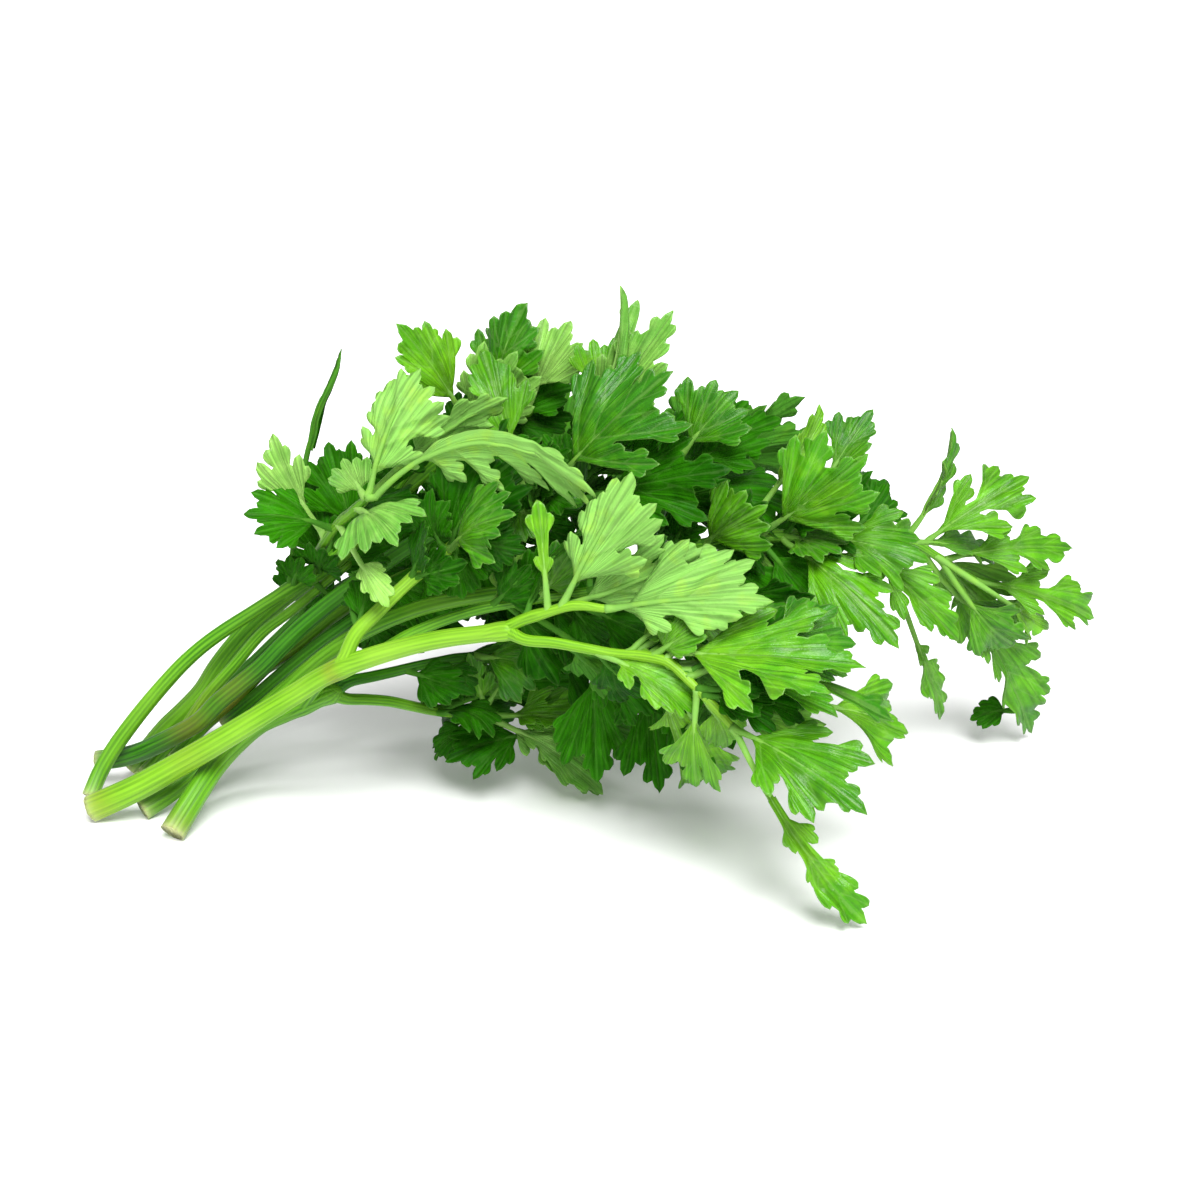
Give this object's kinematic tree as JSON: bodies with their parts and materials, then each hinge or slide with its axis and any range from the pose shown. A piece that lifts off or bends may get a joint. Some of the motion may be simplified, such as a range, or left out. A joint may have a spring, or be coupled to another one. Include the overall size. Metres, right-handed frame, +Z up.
{
  "type": "parsley bunch",
  "caption": "Loose bunch of cut flat-leaf parsley lying down: long stalks at one end, arched branches and lobed, toothed leaves at the other.",
  "frame": {"origin": "bottom centre of the whole bunch's box, on the surface that it lies on", "axes": "+X from the cut stalk ends to the leaf tips, +Z up, -Y towards the front of the bunch"},
  "size_m": [0.2522, 0.157, 0.1276],
  "materials": {
    "pale_stalk_skin": "ridged, waxy, light yellow-green stalk skin",
    "green_stalk_skin": "ridged, waxy, fresh green stalk skin",
    "dark_stalk_skin": "ridged, waxy, deep green stalk skin",
    "upper_blade": "satin, veined upper side of a leaf, saturated green",
    "underside_blade": "matte, pale underside of a leaf with raised veins",
    "shaded_blade": "satin, veined leaf of a deep green"
  },
  "bodies": {
    "root": {"front_stalk": "pale_stalk_skin", "low_stalk": "green_stalk_skin", "left_stalk": "green_stalk_skin", "cross_stalk": "dark_stalk_skin", "twin_stalk": "green_stalk_skin", "right_stalk": "green_stalk_skin", "back_stalk": "dark_stalk_skin", "far_stalk": "dark_stalk_skin", "spray_upper_branch": "pale_stalk_skin", "spray_lower_branch": "pale_stalk_skin", "node_branch": "pale_stalk_skin", "left_branch": "green_stalk_skin", "crown_branch": "dark_stalk_skin", "upper_branch": "dark_stalk_skin", "low_branch": "green_stalk_skin", "dark_branch": "dark_stalk_skin", "spray_leaf_hanging": "upper_blade", "spray_leaf_broad": "upper_blade", "spray_leaf_right": "underside_blade", "spray_leaf_upright": "underside_blade", "spray_leaf_low": "upper_blade", "spray_leaf_far": "upper_blade", "spray_leaf_behind": "underside_blade", "spray_leaf_small": "upper_blade", "heart_leaf_tall": "underside_blade", "heart_leaf_arched": "underside_blade", "heart_leaf_fan": "upper_blade", "heart_leaf_narrow": "underside_blade", "heart_leaf_low": "upper_blade", "heart_leaf_matte": "upper_blade", "heart_leaf_dark": "upper_blade", "crown_leaf_left": "upper_blade", "crown_leaf_upright": "upper_blade", "crown_leaf_middle": "upper_blade", "crown_leaf_bright": "upper_blade", "crown_leaf_thin": "upper_blade", "left_leaf_edge": "upper_blade", "left_leaf_pale": "upper_blade", "left_leaf_bright": "upper_blade", "upper_leaf_near": "upper_blade", "upper_leaf_far": "upper_blade", "right_leaf_glowing": "upper_blade", "right_leaf_middle": "upper_blade", "right_leaf_lower": "upper_blade", "right_leaf_long": "upper_blade", "end_leaf_thin": "upper_blade", "end_leaf_upper": "upper_blade", "end_leaf_middle": "upper_blade", "end_leaf_outer": "upper_blade", "end_leaf_hanging": "upper_blade", "low_leaf_left": "shaded_blade", "low_leaf_right": "shaded_blade", "low_leaf_dark": "shaded_blade", "dark_leaf_upright": "shaded_blade", "back_leaf_high": "shaded_blade", "back_leaf_top": "shaded_blade", "back_leaf_middle": "shaded_blade", "back_leaf_left": "shaded_blade", "back_leaf_low": "shaded_blade", "back_leaf_resting": "shaded_blade"}
  },
  "joints": []
}
